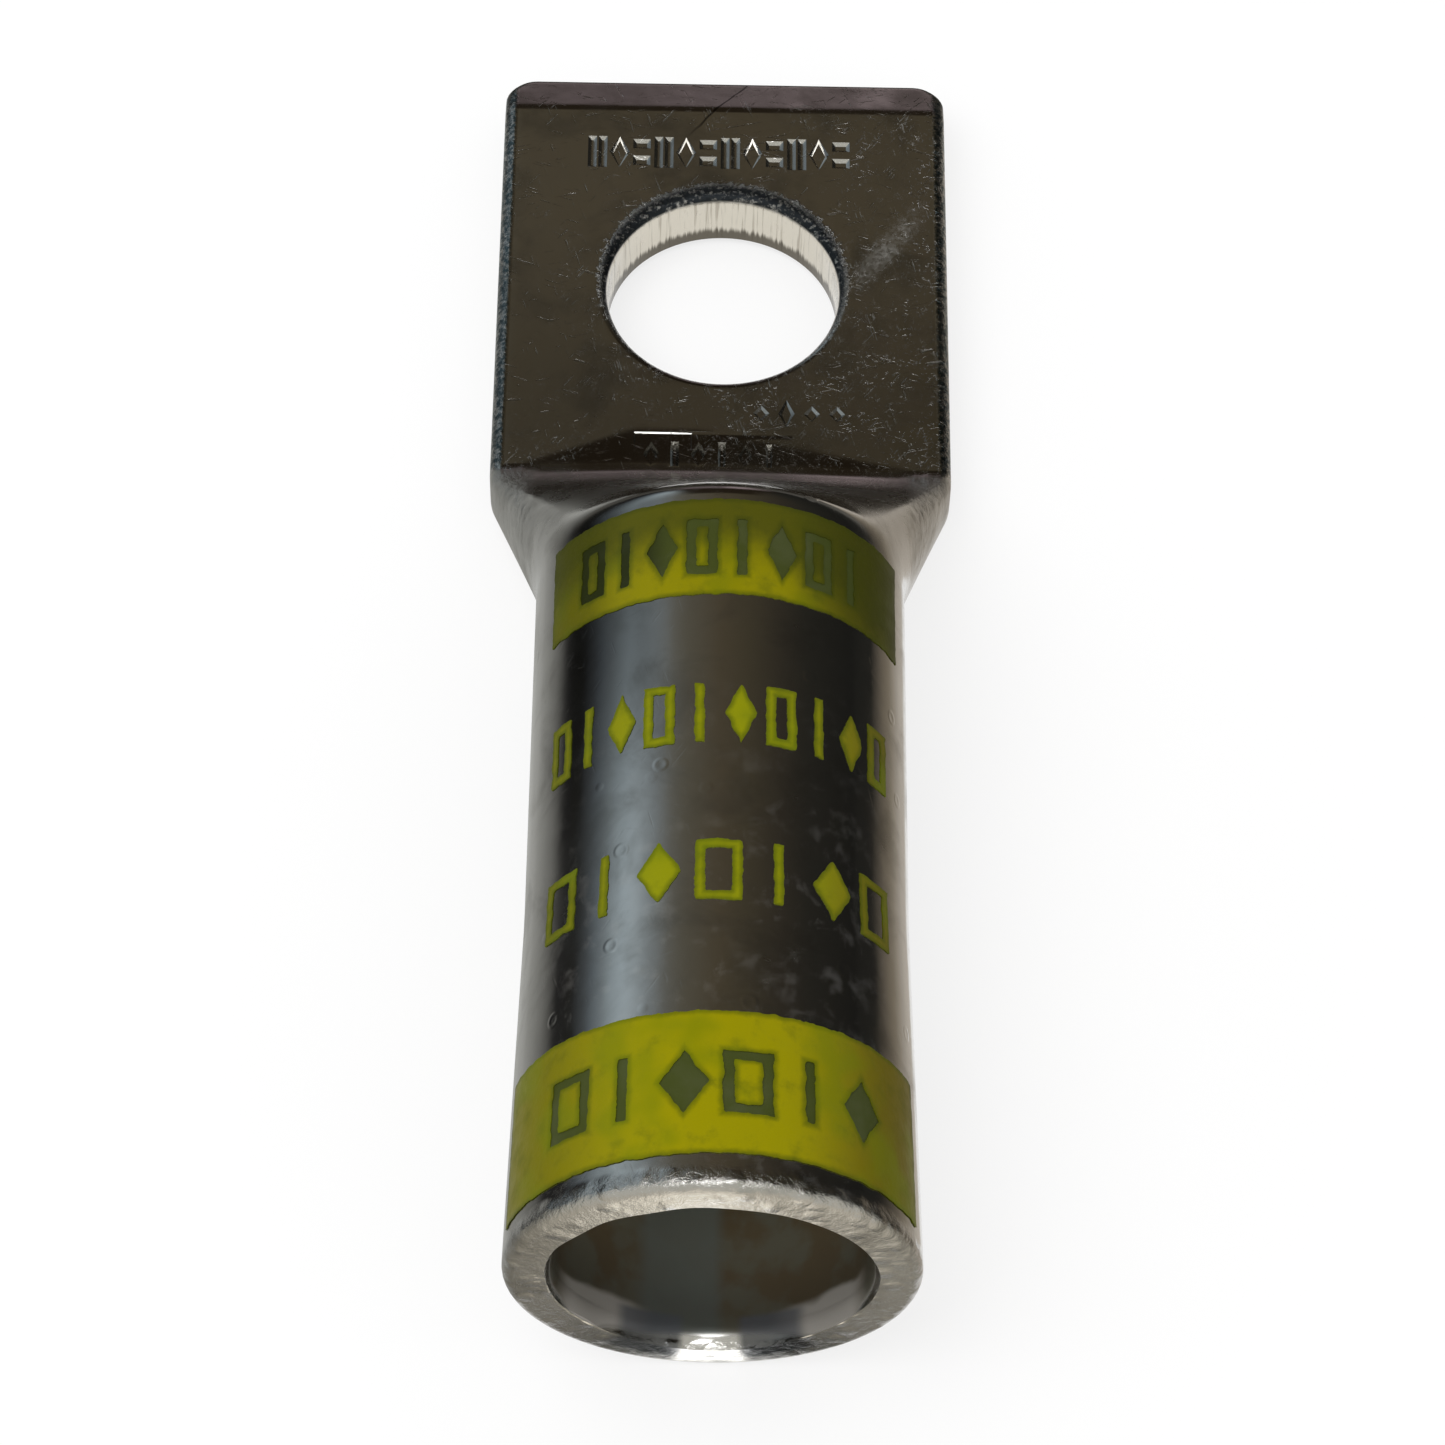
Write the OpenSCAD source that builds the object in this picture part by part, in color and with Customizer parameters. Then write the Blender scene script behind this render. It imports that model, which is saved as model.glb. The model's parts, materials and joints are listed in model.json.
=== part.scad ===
// One-hole compression cable lug: a seamless copper tube, tin plated, whose far end is
// pressed flat into a palm and punched for a stud. The mouth end stays round and is belled
// gently, and the upper side of the barrel carries two ink bands and two rows of ink marks.
// Millimetres. The origin is the centre of the stud hole on the palm's underside, +Z is up
// and the barrel's mouth faces -Y.

/* [Barrel] */
// Outside diameter of the round barrel
barrel_od = 19.3; // [17.6:0.1:24]
// Diameter of the bore that takes the stranded conductor
bore_d = 15.5; // [12:0.1:17]
// Length of the round barrel, from the mouth to the start of the shoulder
barrel_len = 39.3; // [36:0.1:60]

/* [Mouth] */
// How far the mouth is belled out beyond the barrel's outside
bell_out = 0.5; // [0:0.05:1]
// Length of the barrel over which it widens towards the mouth
bell_len = 19; // [10:0.5:22]
// Radius that rounds the outer edge of the mouth
lip_r = 0.6; // [0.2:0.05:0.9]
// Radial width of the lead-in chamfer inside the mouth
lead_in = 0.5; // [0.1:0.05:0.7]
// Depth of the lead-in chamfer inside the mouth
lead_in_len = 1.2; // [0.5:0.1:3]

/* [Shoulder] */
// Length over which the round tube is pressed down to the palm
shoulder_len = 13.4; // [9:0.1:22]
// Share of the shoulder's length that each of its two bends takes
bend_share = 0.12; // [0.04:0.01:0.4]
// Angle above the barrel's side at which the shoulder's upper ridge starts
ridge_angle = 28; // [10:1:45]

/* [Palm] */
// Width of the palm
palm_w = 25.4; // [21:0.1:36]
// Thickness of the palm
palm_t = 3.5; // [2.4:0.1:6]
// Distance from the palm's base to the stud hole's centre
hole_to_base = 12.7; // [10:0.1:24]
// Distance from the stud hole's centre to the palm's far end
hole_to_end = 16.1; // [12:0.1:30]
// Radius of the palm's two far corners, seen from above
corner_r = 1.6; // [0.4:0.1:4]
// Radius that rounds the palm's long edges
edge_r = 0.8; // [0.2:0.05:1.1]
// Length of the bevel across the palm's far end
end_bevel_len = 2.9; // [0.5:0.1:4]
// Drop of the bevel across the palm's far end
end_bevel_drop = 1; // [0.3:0.1:2]

/* [Stud hole] */
// Diameter of the punched stud hole
stud_hole_d = 13; // [6:0.1:18]
// Radius of the edge that the punch draws down around the hole's top
punch_roll_r = 0.6; // [0.1:0.05:1]

/* [Ink] */
// Thickness of the ink film
ink_t = 0.05; // [0.03:0.01:0.15]
// Angle from the barrel's top to the left end of the lower band
lower_band_left = 77; // [62:1:85]
// Angle from the barrel's top to the right end of the lower band
lower_band_right = 72; // [62:1:85]
// Angle from the barrel's top to the left end of the upper band
upper_band_left = 62; // [62:1:85]
// Angle from the barrel's top to the right end of the upper band
upper_band_right = 68; // [62:1:85]
// Distance from the mouth's rounded lip to the lower band
lower_band_gap = 0.3; // [0:0.1:3]
// Width of the lower band along the barrel
lower_band_w = 7.8; // [6:0.1:10]
// Width of the upper band along the barrel
upper_band_w = 5.9; // [5:0.1:8]
// Distance from the upper band to the start of the shoulder
upper_band_gap = 0.3; // [0:0.1:3]
// Distance from the lower band to the lower row of marks
lower_row_gap = 6.3; // [1:0.1:8]
// Distance from the upper band to the upper row of marks
upper_row_gap = 5.4; // [1:0.1:8]
// Height of the marks in the two rows
row_mark_h = 3.5; // [2:0.1:4]
// Height of the marks left open in the two bands
band_mark_h = 3.4; // [2:0.1:4]
// Width of a mark in the lower row and in the lower band
wide_mark_w = 2.3; // [1.4:0.1:2.4]
// Gap between two such marks, along the arc
wide_mark_gap = 0.65; // [0.3:0.05:0.9]
// Width of a mark in the upper row and in the upper band
slim_mark_w = 1.6; // [1:0.1:1.7]
// Gap between two such marks, along the arc
slim_mark_gap = 0.45; // [0.2:0.05:0.6]
// Width of the strokes that the marks are made of
stroke_w = 0.5; // [0.3:0.05:0.6]
// Number of marks left open in the upper band
upper_band_marks = 8; // [1:1:8]
// Number of marks in the upper row
upper_row_marks = 10; // [1:1:10]
// Number of marks in the lower row
lower_row_marks = 7; // [1:1:7]
// Number of marks left open in the lower band
lower_band_marks = 6; // [1:1:6]

/* [Hidden] */

barrel_r = barrel_od / 2;
bore_r = bore_d / 2;
wall = barrel_r - bore_r;
palm_base_y = -hole_to_base;
palm_end_y = hole_to_end;
shoulder_y = palm_base_y - shoulder_len;
mouth_y = shoulder_y - barrel_len;
mouth_r = barrel_r + bell_out;
// The lip's radius and the lead-in leave a flat of a third of the wall on the mouth's face
lip = min(lip_r, wall / 3);
lead = min(lead_in, wall / 3);
// The pressed shoulder starts this far inside the round barrel's skin, and reaches this far
// into the barrel and the palm, so that the three run into each other as one solid
skin = 0.02;
bury = 0.5;
// The cavity closes to a slit where the tube is all but flat
cavity_close = 0.95;
// Distances from the mouth: the bands' near edges, and the middles of the rows of marks
lower_band_at = lip + lower_band_gap;
upper_band_at = barrel_len - upper_band_gap - upper_band_w;
lower_row_at = lower_band_at + lower_band_w + lower_row_gap + row_mark_h / 2;
upper_row_at = upper_band_at - upper_row_gap - row_mark_h / 2;
// Depth below the barrel's skin at which the cutters of the marks start
mark_root = 1;
// Pitch of the marks as an angle round the barrel, so that they stay apart at any diameter
slim_pitch = (slim_mark_w + slim_mark_gap) / barrel_r * 180 / PI;
wide_pitch = (wide_mark_w + wide_mark_gap) / barrel_r * 180 / PI;
// Angle from the barrel's top, to both sides, that holds the longest row of marks
row_reach = 80;
// Stations along the shoulder, and points round each of its sections
shoulder_steps = 18;
arc_steps = 5;
top_steps = 24;
side_steps = 4;
// Facets of whole circles: edges and lips, and everything else
edge_fn = 48;
$fn = 96;

tin = [0.72, 0.71, 0.68];
band_ink = [0.55, 0.55, 0.05];
mark_ink = [0.55, 0.56, 0.05];

// ---- Sections of the pressed shoulder -------------------------------------------------

// Even rise from 0 to 1 with a rounded bend of length b at both ends
function press(s, b) =
    let (slope = 1 / (1 - b))
    s < b ? slope * s * s / (2 * b)
    : s > 1 - b ? 1 - slope * (1 - s) * (1 - s) / (2 * b)
    : slope * (s - b / 2);

// Point on a circle that stands on z = floor_z, at angle a from +X
function round_point(r, floor_z, a) = [r * cos(a), floor_z + r + r * sin(a)];

// The palm's section as a ring of points, each with the angle of the tube's point that is
// pressed there: [x, z, angle]. It runs round from the right side over the top.
function corner_ring(x, z, r, a0, tube0, tube1) =
    [for (i = [0:arc_steps - 1])
        let (a = a0 + 90 * i / arc_steps)
        [x + r * cos(a), z + r * sin(a), tube0 + (tube1 - tube0) * i / arc_steps]];

function line_ring(x0, z0, x1, z1, tube0, tube1, n) =
    [for (i = [0:n - 1]) let (u = i / n)
        [x0 + (x1 - x0) * u, z0 + (z1 - z0) * u, tube0 + (tube1 - tube0) * u]];

function flat_ring(half_w, low, high, r) =
    let (c = ridge_angle, d = ridge_angle / 3)
    concat(
        line_ring(half_w, low + r, half_w, high - r, d - c, c - d, side_steps),
        corner_ring(half_w - r, high - r, r, 0, c - d, c + d),
        line_ring(half_w - r, high, r - half_w, high, c + d, 180 - c - d, top_steps),
        corner_ring(r - half_w, high - r, r, 90, 180 - c - d, 180 - c + d),
        line_ring(-half_w, high - r, -half_w, low + r, 180 - c + d, 180 + c - d, side_steps),
        corner_ring(r - half_w, low + r, r, 180, 180 + c - d, 180 + c + d),
        line_ring(r - half_w, low, half_w - r, low, 180 + c + d, 360 - c - d, top_steps),
        corner_ring(half_w - r, low + r, r, 270, 360 - c - d, 360 - c + d)
    );

// Section at the pressed share p between a tube of radius r on z = floor_z and the flat ring
function pressed_section(r, floor_z, flat, p, y) =
    [for (q = flat) let (t = round_point(r, floor_z, q[2]))
        [t[0] * (1 - p) + q[0] * p, y, t[1] * (1 - p) + q[1] * p]];

// Middle of a ring of points
function middle(ring) = [for (q = ring) 1 / len(ring)] * ring;

// Closed solid through a list of equal rings of points, which go anticlockwise seen from -Y.
// Each end is a fan of triangles about its ring's middle.
module loft(rings) {
    n = len(rings[0]);
    last = len(rings) - 1;
    near_mid = (last + 1) * n;
    far_mid = near_mid + 1;
    polyhedron(
        points = concat([for (ring = rings) each ring], [middle(rings[0]), middle(rings[last])]),
        faces = [for (i = [0:n - 1]) let (j = (i + 1) % n)
            each concat(
                [[near_mid, j, i], [far_mid, last * n + i, last * n + j]],
                [for (k = [0:last - 1]) let (a = k * n + i, b = k * n + j)
                    each [[a, b + n, a + n], [a, b, b + n]]]
            )],
        convexity = 4
    );
}

// ---- Metal ----------------------------------------------------------------------------

// Puts children made round +Z from z = 0 onto the barrel's axis, running in from the mouth
module along_barrel() {
    translate([0, mouth_y, barrel_r]) rotate([-90, 0, 0]) children();
}

// Radius of the barrel's outside at distance d from the mouth, behind the lip
function outside_r(d) = barrel_r + bell_out * max(0, bell_len - d) / (bell_len - lip);

// Round barrel that widens towards the mouth, with its rounded lip
module barrel_outside() {
    along_barrel() rotate_extrude() {
        square([mouth_r - lip, lip]);
        translate([mouth_r - lip, lip]) circle(lip, $fn = edge_fn);
        polygon([[0, lip], [mouth_r, lip], [barrel_r, bell_len], [0, bell_len]]);
        translate([0, bell_len]) square([barrel_r, barrel_len - bell_len]);
    }
}

// Bore with its lead-in chamfer, open at the mouth
module bore() {
    along_barrel() {
        cylinder(h = barrel_len, r = bore_r);
        translate([0, 0, -lead_in_len])
            cylinder(h = 2 * lead_in_len, r1 = bore_r + 2 * lead, r2 = bore_r);
    }
}

// Outside of the shoulder, where the tube is pressed from round to flat
module shoulder_outside() {
    flat = flat_ring(palm_w / 2 - skin, skin, palm_t - skin, edge_r);
    round_r = barrel_r - skin;
    loft(concat(
        [pressed_section(round_r, skin, flat, 0, shoulder_y - bury)],
        [for (i = [0:shoulder_steps]) let (s = i / shoulder_steps)
            pressed_section(round_r, skin, flat, press(s, bend_share),
                            shoulder_y + shoulder_len * s)],
        [pressed_section(round_r, skin, flat, 1, palm_base_y + bury)]
    ));
}

// Cavity inside the shoulder, which follows the outside one wall in and closes to a slit
module shoulder_cavity() {
    mid = palm_t / 2;
    flat = flat_ring(palm_w / 2 - wall, mid, mid, 0);
    round_r = bore_r - skin;
    low = wall + skin;
    stops = [for (i = [0:shoulder_steps]) let (s = i / shoulder_steps)
        if (press(s, bend_share) < cavity_close) s];
    loft(concat(
        [pressed_section(round_r, low, flat, 0, shoulder_y - bury)],
        [for (s = stops)
            pressed_section(round_r, low, flat, press(s, bend_share),
                            shoulder_y + shoulder_len * s)]
    ));
}

// Rounded rectangle from x0, y0 to x1, y1
module rounded_box(x0, y0, x1, y1, r) {
    translate([x0 + r, y0]) square([x1 - x0 - 2 * r, y1 - y0]);
    translate([x0, y0 + r]) square([x1 - x0, y1 - y0 - 2 * r]);
    for (x = [x0 + r, x1 - r], y = [y0 + r, y1 - r])
        translate([x, y]) circle(r, $fn = edge_fn);
}

// Palm, made as what its section, its outline from above and its side view share
module palm() {
    half_w = palm_w / 2;
    intersection() {
        translate([0, palm_end_y, 0]) rotate([90, 0, 0])
            linear_extrude(palm_end_y - palm_base_y) rounded_box(-half_w, 0, half_w, palm_t, edge_r);
        linear_extrude(palm_t)
            rounded_box(-half_w, palm_base_y - 2 * corner_r, half_w, palm_end_y, corner_r);
        rotate([90, 0, 90]) translate([0, 0, -half_w]) linear_extrude(palm_w)
            polygon([[palm_base_y, 0], [palm_end_y, 0], [palm_end_y, palm_t - end_bevel_drop],
                     [palm_end_y - end_bevel_len, palm_t], [palm_base_y, palm_t]]);
    }
}

// Stud hole with the rounded edge that the punch draws down at its top
module stud_hole() {
    hole_r = stud_hole_d / 2;
    translate([0, 0, -palm_t]) cylinder(h = 3 * palm_t, r = hole_r);
    translate([0, 0, palm_t - punch_roll_r]) rotate_extrude() difference() {
        square([hole_r + punch_roll_r, 2 * punch_roll_r]);
        translate([hole_r + punch_roll_r, 0]) circle(punch_roll_r, $fn = edge_fn);
    }
}

module lug_body() {
    color(tin) difference() {
        union() {
            barrel_outside();
            shoulder_outside();
            palm();
        }
        bore();
        shoulder_cavity();
        stud_hole();
    }
}

// ---- Ink ------------------------------------------------------------------------------

// Film of ink on the barrel from distance d to d + w from the mouth, between two angles from
// the barrel's top. It follows the outside where that starts to widen.
module ink_film(d, w, left, right) {
    bend = d < bell_len && bell_len < d + w ? [bell_len] : [];
    under = [for (y = concat([d], bend, [d + w])) [outside_r(y), y]];
    over = [for (i = [len(under) - 1:-1:0]) under[i] + [ink_t, 0]];
    along_barrel() rotate([0, 0, -90 - left])
        rotate_extrude(angle = left + right) polygon(concat(under, over));
}

// Sends a flat shape straight out through the film, at angle a from the barrel's top and
// distance d from the mouth, with the shape's own +Y towards the palm
module through_film(a, d) {
    along_barrel() rotate([0, 0, a - 90]) translate([0, 0, d]) rotate([90, 0, 90])
        translate([0, 0, barrel_r - mark_root]) linear_extrude(2 * mark_root) children();
}

module bar_mark(h) square([stroke_w, h], center = true);

module frame_mark(w, h) difference() {
    square([w, h], center = true);
    square([w - 2 * stroke_w, h - 2 * stroke_w], center = true);
}

module diamond_mark(w, h) polygon([[w / 2, 0], [0, h / 2], [-w / 2, 0], [0, -h / 2]]);

// Plain shapes that stand for no letter or number, taken in turn along a row
module mark(kind, w, h) {
    if (kind == 0) frame_mark(w, h);
    if (kind == 1) bar_mark(h);
    if (kind == 2) diamond_mark(w, h);
}

// Row of marks, evenly spread about the barrel's top at distance d from the mouth
module mark_row(count, pitch, w, h, d) {
    for (i = [0:count - 1])
        through_film((i - (count - 1) / 2) * pitch, d) mark(i % 3, w, h);
}

module upper_band() {
    color(band_ink) difference() {
        ink_film(upper_band_at, upper_band_w, upper_band_left, upper_band_right);
        mark_row(upper_band_marks, slim_pitch, slim_mark_w, band_mark_h,
                 upper_band_at + upper_band_w / 2);
    }
}

module upper_marks() {
    color(mark_ink) intersection() {
        ink_film(upper_row_at - row_mark_h, 2 * row_mark_h, row_reach, row_reach);
        mark_row(upper_row_marks, slim_pitch, slim_mark_w, row_mark_h, upper_row_at);
    }
}

module lower_marks() {
    color(mark_ink) intersection() {
        ink_film(lower_row_at - row_mark_h, 2 * row_mark_h, row_reach, row_reach);
        mark_row(lower_row_marks, wide_pitch, wide_mark_w, row_mark_h, lower_row_at);
    }
}

module lower_band() {
    color(band_ink) difference() {
        ink_film(lower_band_at, lower_band_w, lower_band_left, lower_band_right);
        mark_row(lower_band_marks, wide_pitch, wide_mark_w, band_mark_h,
                 lower_band_at + lower_band_w / 2);
    }
}

lug_body();
upper_band();
upper_marks();
lower_marks();
lower_band();
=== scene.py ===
import json
import math

import bpy
from mathutils import Matrix, Vector, noise


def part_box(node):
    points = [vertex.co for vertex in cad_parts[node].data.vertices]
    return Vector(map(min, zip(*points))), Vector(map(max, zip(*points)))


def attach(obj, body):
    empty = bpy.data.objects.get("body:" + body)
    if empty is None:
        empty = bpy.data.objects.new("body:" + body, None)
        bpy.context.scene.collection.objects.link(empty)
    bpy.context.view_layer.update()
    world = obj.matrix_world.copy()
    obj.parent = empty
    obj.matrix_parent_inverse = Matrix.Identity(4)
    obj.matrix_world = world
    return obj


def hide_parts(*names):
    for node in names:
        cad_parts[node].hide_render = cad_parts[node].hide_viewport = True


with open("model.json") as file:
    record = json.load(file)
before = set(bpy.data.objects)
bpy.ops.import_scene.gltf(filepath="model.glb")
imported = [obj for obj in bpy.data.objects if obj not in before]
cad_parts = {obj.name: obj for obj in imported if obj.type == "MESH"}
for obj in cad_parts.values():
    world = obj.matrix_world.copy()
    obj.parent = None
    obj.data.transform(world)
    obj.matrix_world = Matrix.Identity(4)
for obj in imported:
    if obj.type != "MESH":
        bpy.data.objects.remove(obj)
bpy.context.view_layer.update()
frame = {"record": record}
mm = 0.001

# ---- Camera ---------------------------------------------------------------------------
# It stands in front of the mouth and well above it, and looks down the barrel at the palm.
# Place, aim and lens were worked out from the outlines of the barrel, palm and stud hole.
camera_at = Vector((-1.86, -178.47, 225.45)) * mm
camera_pitch = math.radians(56.121)
camera_yaw = math.radians(0.811)
camera_roll = math.radians(1.615)
ahead = Vector((math.sin(camera_yaw) * math.cos(camera_pitch),
                math.cos(camera_yaw) * math.cos(camera_pitch),
                -math.sin(camera_pitch)))
level = Vector((math.cos(camera_yaw), -math.sin(camera_yaw), 0))
upright = level.cross(ahead)
right = level * math.cos(camera_roll) + upright * math.sin(camera_roll)
up = upright * math.cos(camera_roll) - level * math.sin(camera_roll)
camera_data = bpy.data.cameras.new("camera")
camera_data.sensor_width = 36
camera_data.lens = 125.5
camera_data.clip_start = 0.01
camera = bpy.data.objects.new("camera", camera_data)
camera_turn = Matrix((right, up, -ahead)).transposed().to_4x4()
camera.matrix_world = Matrix.Translation(camera_at) @ camera_turn
bpy.context.scene.collection.objects.link(camera)
bpy.context.scene.camera = camera

# ---- Lug body -------------------------------------------------------------------------
# One seamless copper tube, pressed flat at its far end into a palm, punched for a stud and
# then tin plated. The mesh is a single skin that runs from the closed end of the cavity out
# through the bore, over the lip and along the outside to the palm's far end.
mounts = {m["name"]: m for m in frame["record"]["mounts"]}
body_low, body_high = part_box("lug_body")
hole_r = mounts["stud_hole"]["dims"]["r_mm"] * mm
bore_r = mounts["conductor_bore"]["dims"]["r_mm"] * mm
barrel_r = mounts["conductor_bore"]["pos_m"][2]
palm_t = mounts["palm_top"]["pos_m"][2]
mouth_y = body_low.y
palm_end = body_high.y
palm_half_w = body_high.x
mouth_r = body_high.z - barrel_r
shoulder_y = -26.1 * mm
palm_base = -12.7 * mm
wall = barrel_r - bore_r


def press(s, bend=0.12):
    """Even rise from 0 to 1 with a rounded bend at both ends."""
    slope = 1 / (1 - bend)
    if s < bend:
        return slope * s * s / (2 * bend)
    if s > 1 - bend:
        return 1 - slope * (1 - s) ** 2 / (2 * bend)
    return slope * (s - bend / 2)


def flat_ring(half_w, low, high, r):
    """Section of the palm as (x, z, angle of the tube's point that is pressed there)."""
    ridge, soft = 28, 28 / 3
    corner_steps, top_steps, side_steps = 8, 56, 8
    ring = []

    def line(x0, z0, x1, z1, a0, a1, n):
        ring.extend((x0 + (x1 - x0) * i / n, z0 + (z1 - z0) * i / n, a0 + (a1 - a0) * i / n)
                    for i in range(n))

    def corner(x, z, turn, a0, a1):
        for i in range(corner_steps):
            t = math.radians(turn + 90 * i / corner_steps)
            ring.append((x + r * math.cos(t), z + r * math.sin(t),
                         a0 + (a1 - a0) * i / corner_steps))

    line(half_w, low + r, half_w, high - r, soft - ridge, ridge - soft, side_steps)
    corner(half_w - r, high - r, 0, ridge - soft, ridge + soft)
    line(half_w - r, high, r - half_w, high, ridge + soft, 180 - ridge - soft, top_steps)
    corner(r - half_w, high - r, 90, 180 - ridge - soft, 180 - ridge + soft)
    line(-half_w, high - r, -half_w, low + r, 180 - ridge + soft, 180 + ridge - soft, side_steps)
    corner(r - half_w, low + r, 180, 180 + ridge - soft, 180 + ridge + soft)
    line(r - half_w, low, half_w - r, low, 180 + ridge + soft, 360 - ridge - soft, top_steps)
    corner(half_w - r, low + r, 270, 360 - ridge - soft, 360 - ridge + soft)
    return ring


def pressed_section(r, floor, flat, share, y):
    """Ring of points between the round tube, at share 0, and the flat ring, at share 1."""
    ring = []
    for x, z, angle in flat:
        t = math.radians(angle)
        ring.append(Vector((r * math.cos(t) * (1 - share) + x * share, y,
                            (floor + r + r * math.sin(t)) * (1 - share) + z * share)))
    return ring


def loft(name, rings):
    """Closed mesh through equal rings of points, with a flat cap on both ends."""
    n = len(rings[0])
    points = [p for ring in rings for p in ring]
    faces = [tuple(range(n)), tuple(range(len(points) - 1, len(points) - n - 1, -1))]
    for k in range(len(rings) - 1):
        for i in range(n):
            j = (i + 1) % n
            faces.append((k * n + i, (k + 1) * n + i, (k + 1) * n + j, k * n + j))
    mesh = bpy.data.meshes.new(name)
    mesh.from_pydata(points, [], faces)
    obj = bpy.data.objects.new(name, mesh)
    bpy.context.scene.collection.objects.link(obj)
    return obj


lip = 0.6 * mm
lead_in = 0.5 * mm
lead_in_len = 1.2 * mm
bell_len = 19.0 * mm
edge_r = 0.8 * mm
corner_r = 1.6 * mm
bevel_len = 2.9 * mm
bevel_drop = 1.0 * mm
bevel_soft = 0.25 * mm
end_r = 0.3 * mm
cavity_flat = flat_ring(palm_half_w - wall, palm_t / 2, palm_t / 2, 0)
palm_flat = flat_ring(palm_half_w, 0, palm_t, edge_r)
mouth_skew = 1.0 * mm
skew_len = 12 * mm
rings = []


def skewed(ring, wander=0.0):
    """Carries a ring near the mouth outward at its top, because the tube wasn't sawn quite square,
    and moves its points in towards the axis by up to the given wander."""
    moved = []
    for p in ring:
        share = max(0.0, 1 - max(0.0, p.y - mouth_y) / skew_len)
        turn = math.atan2(p.x, p.z - barrel_r)
        low_side = math.exp(-((abs(turn) - 2.25) / 0.45) ** 2)
        bottom = math.exp(-((math.pi - abs(turn)) / 0.45) ** 2)
        inward = wander * (1 - 0.9 * bottom) * (0.3 + 0.6 * low_side + 0.4 * noise.noise(
            Vector((math.cos(turn) * 2.6, math.sin(turn) * 2.6, 4.0))))
        r = 1 - inward / math.hypot(p.x, p.z - barrel_r)
        moved.append(Vector((p.x * r, p.y - mouth_skew * share * p.z / (2 * barrel_r),
                             barrel_r + (p.z - barrel_r) * r)))
    return moved


cavity_steps, shoulder_steps = 24, 48
for k in range(cavity_steps, -1, -1):
    s = 0.93 * k / cavity_steps
    rings.append(pressed_section(bore_r, wall, cavity_flat, press(s),
                                 shoulder_y + (palm_base - shoulder_y) * s))
barrel_steps = 12
for k in range(1, barrel_steps + 1):
    y = shoulder_y + (mouth_y + lead_in_len - shoulder_y) * k / barrel_steps
    rings.append(skewed(pressed_section(bore_r, wall, cavity_flat, 0, y)))
round_steps = 6
for k in range(1, round_steps + 1):
    t = k / round_steps
    r = bore_r + lead_in * t * t * (1.5 - 0.5 * t)
    rings.append(skewed(pressed_section(r, barrel_r - r, cavity_flat, 0,
                                        mouth_y + lead_in_len * (1 - t)), lead_in * t))
for k in range(round_steps + 1):
    t = math.pi / 2 * k / round_steps
    r = mouth_r - lip + lip * math.sin(t)
    rings.append(skewed(pressed_section(r, barrel_r - r, palm_flat, 0,
                                        mouth_y + lip * (1 - math.cos(t)))))


def outside_r(y):
    """Radius of the barrel's outside, which widens towards the mouth."""
    past = max(0.0, mouth_y + bell_len - y) / (bell_len - lip)
    return barrel_r + (mouth_r - barrel_r) * min(past, 1.0)


for k in range(1, 2 * barrel_steps):
    y = mouth_y + lip + (shoulder_y - mouth_y - lip) * k / (2 * barrel_steps)
    rings.append(skewed(pressed_section(outside_r(y), barrel_r - outside_r(y), palm_flat, 0, y)))


def valley(x, y):
    """Extra height of the shallow wedge where the shoulder runs out onto the palm. It starts at
    the palm's two corners and reaches furthest onto the palm left of the middle."""
    side = palm_half_w - edge_r
    reach = 2.9 * mm * max(0.0, min(1.0, (side + x) / (7 * mm), (side - x) / (13 * mm)))
    into = palm_base + reach - y
    if into <= 0:
        return 0.0
    crease = 0.3 * mm
    rise = 0.15 * (math.hypot(min(into, reach), crease) - crease)
    return rise * max(0.0, 1 - max(0.0, into - reach) / (6 * mm))


def sink_into(ring):
    """Raises the points of a ring's upper side by the hollow's height."""
    return [p + Vector((0, 0, valley(p.x, p.y)))
            if p.z > palm_t * 0.7 and abs(p.x) < palm_half_w - edge_r else p for p in ring]


for k in range(shoulder_steps + 1):
    s = k / shoulder_steps
    rings.append(sink_into(pressed_section(barrel_r, 0, palm_flat, press(s),
                                           shoulder_y + (palm_base - shoulder_y) * s)))


def palm_section(y, inset=0.0):
    """Section of the palm at y, with the end bevel, the plan corners and an inset all round."""
    into_corner = min(max(0.0, y - (palm_end - corner_r)), corner_r)
    half_w = palm_half_w - corner_r + math.sqrt(corner_r ** 2 - into_corner ** 2) - inset
    past = y - (palm_end - bevel_len)
    slope = bevel_drop / bevel_len
    if past > bevel_soft:
        top = palm_t - slope * past
    elif past > -bevel_soft:
        top = palm_t - slope * (past + bevel_soft) ** 2 / (4 * bevel_soft)
    else:
        top = palm_t
    low, top = inset, top - inset
    r = max(min(edge_r - inset, (top - low) / 2.2), 0.05 * mm)
    return [Vector((x, y, z)) for x, z, _ in flat_ring(half_w, low, top, r)]


base_steps, plain_steps, bevel_steps, end_steps = 14, 12, 16, 5
base_len = 3.5 * mm
for k in range(1, base_steps + 1):
    rings.append(sink_into(palm_section(palm_base + base_len * k / base_steps)))
for k in range(1, plain_steps + 1):
    rings.append(palm_section(palm_base + base_len + (
        palm_end - bevel_len - bevel_soft - palm_base - base_len) * k / plain_steps))
for k in range(1, bevel_steps + 1):
    rings.append(palm_section(
        palm_end - bevel_len - bevel_soft + (bevel_len + bevel_soft - end_r) * k / bevel_steps))
for k in range(1, end_steps + 1):
    t = math.pi / 2 * k / end_steps
    rings.append(palm_section(palm_end - end_r + end_r * math.sin(t), end_r * (1 - math.cos(t))))
lug = loft("lug_body_skin", rings)


def revolve(name, profile, steps):
    """Closed solid round +Z through (radius, height) points, from the bottom up."""
    turns = [-2 * math.pi * i / steps for i in range(steps)]
    return loft(name, [[Vector((r * math.cos(t), r * math.sin(t), z)) for t in turns]
                       for r, z in profile])


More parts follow.
